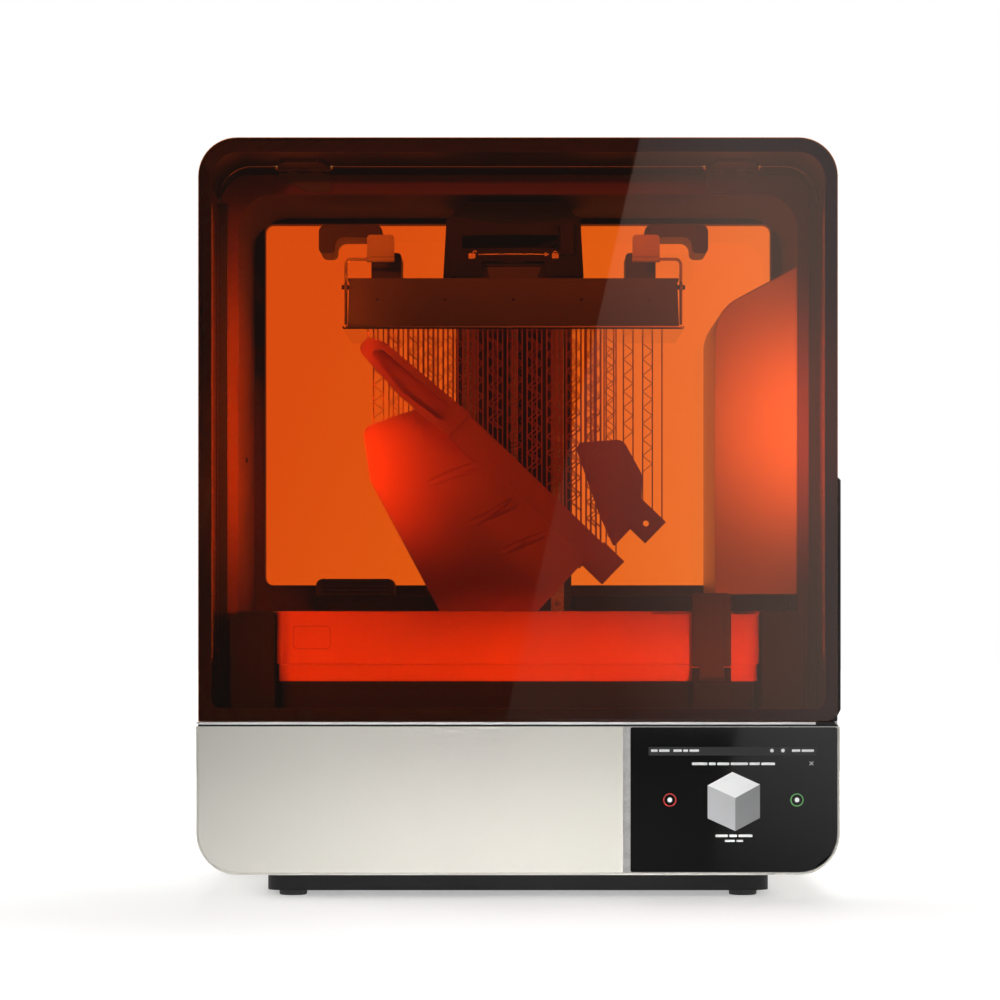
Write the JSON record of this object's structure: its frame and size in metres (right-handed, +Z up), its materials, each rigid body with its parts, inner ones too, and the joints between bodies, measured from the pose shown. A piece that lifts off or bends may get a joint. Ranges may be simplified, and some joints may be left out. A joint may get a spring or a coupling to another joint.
{
  "type": "resin printer",
  "caption": "Large desktop resin printer: amber tilting hood over a lifting build platform and a resin tank with mixer, on a base with a flush touchscreen.",
  "frame": {"origin": "on the floor under the middle of the printer", "axes": "+Z up, -Y towards the front with the screen, +X to the right seen from the front"},
  "size_m": [0.6652, 0.5275, 0.785],
  "materials": {
    "housing": "satin",
    "dark_housing": "satin",
    "amber": "clear tinted acrylic",
    "tank_amber": "tinted moulded plastic",
    "black": "satin",
    "dark_metal": "powder coat",
    "screen": "polished",
    "bright_metal": "brushed",
    "anodised": "anodised",
    "steel": "ground",
    "rubber": "matt",
    "film": "clear film",
    "print_resin": "cured resin with its supports",
    "board": "circuit board",
    "brass": "turned"
  },
  "bodies": {
    "chassis": {"base_shell": "housing", "front_fascia": "housing", "screen_bezel": "bright_metal", "touchscreen_glass": "screen", "display_panel": "dark_metal", "plinth": "dark_housing", "levelling_feet": "rubber", "deck_plate": "dark_metal", "base_top_trim": "housing", "hood_catch": "black", "light_box": "black", "masking_lcd": "screen", "led_array": "bright_metal", "power_supply": "bright_metal", "main_board": "board", "rear_panel": "housing", "rear_connectors": "black", "fan_frame": "black", "rear_shell": "housing", "chamber_liner": "dark_housing", "rear_frame": "dark_housing", "rear_window": "amber", "hinge_brackets": "dark_metal", "hinge_pins": "steel", "z_tower": "anodised", "z_rails": "steel", "top_bearing": "anodised", "z_motor": "dark_metal", "tank_frame": "tank_amber", "film_frame": "tank_amber", "tank_film": "film", "tank_guides": "black", "cartridge_shroud": "housing", "resin_spout": "black", "rear_ledge": "black", "chamber_heater": "dark_housing"},
    "hood": {"hood_frame": "black", "hood_side_windows": "amber", "hood_front_panel": "amber", "hood_seal": "rubber", "hood_grip": "bright_metal", "hinge_leaves": "dark_metal"},
    "carriage": {"carriage_plate": "anodised", "linear_blocks": "steel", "lead_nut": "brass", "carriage_arm": "anodised", "carriage_housing": "black"},
    "screw": {"lead_screw": "steel"},
    "lever": {"lock_lever": "black"},
    "platform": {"platform_body": "anodised", "build_plate": "steel", "printed_scoop": "print_resin", "carry_handles": "black"},
    "release_left": {"release_handle_left": "steel"},
    "release_right": {"release_handle_right": "steel"},
    "latch": {"latch_lever": "black"},
    "mixer": {"mixer": "black"},
    "fan": {"fan_rotor": "black"},
    "switch": {"power_switch": "black"},
    "cartridge": {"resin_cartridge": "dark_housing"}
  },
  "joints": [
    {"name": "hood_hinge", "type": "hinge", "parent": "chassis", "child": "hood", "pos_m": [0, -0.0335, 0.779], "axis": [-1, 0, 0], "range_deg": [0, 80]},
    {"name": "z_slide", "type": "slide", "parent": "chassis", "child": "carriage", "axis": [0, 0, 1], "range_m": [-0.35, 0], "deforming": ["printed_scoop"]},
    {"name": "screw_spin", "type": "hinge", "parent": "chassis", "child": "screw", "pos_m": [-0.005, 0.203, 0.4], "axis": [0, 0, 1], "range_deg": [-12601, 1]},
    {"name": "lock_swing", "type": "hinge", "parent": "carriage", "child": "lever", "pos_m": [-0.001, 0.105, 0.6973], "axis": [0, 0, -1], "range_deg": [0, 37]},
    {"name": "platform_pull", "type": "slide", "parent": "carriage", "child": "platform", "axis": [0, -1, 0], "range_m": [0, 0.05]},
    {"name": "release_left_tilt", "type": "hinge", "parent": "platform", "child": "release_left", "pos_m": [-0.1865, -0.058, 0.647], "axis": [1, 0, 0], "range_deg": [0, 35]},
    {"name": "release_right_tilt", "type": "hinge", "parent": "platform", "child": "release_right", "pos_m": [0.1765, -0.058, 0.647], "axis": [1, 0, 0], "range_deg": [0, 35]},
    {"name": "latch_tilt", "type": "hinge", "parent": "chassis", "child": "latch", "pos_m": [0.20375, -0.1785, 0.229], "axis": [1, 0, 0], "range_deg": [0, 45]},
    {"name": "mixer_slide", "type": "slide", "parent": "chassis", "child": "mixer", "axis": [1, 0, 0], "range_m": [0, 0.464]},
    {"name": "fan_spin", "type": "hinge", "parent": "chassis", "child": "fan", "pos_m": [-0.19, 0.245, 0.1], "axis": [0, 1, 0], "continuous": true},
    {"name": "switch_rock", "type": "hinge", "parent": "chassis", "child": "switch", "pos_m": [0.275, 0.258, 0.101], "axis": [1, 0, 0], "range_deg": [-16, 0]},
    {"name": "cartridge_pull", "type": "slide", "parent": "chassis", "child": "cartridge", "axis": [0, 1, 0], "range_m": [0, 0.25]}
  ],
  "couplings": [
    {"joint": "screw_spin", "follows": "z_slide", "rad_per_m": 628.32}
  ]
}
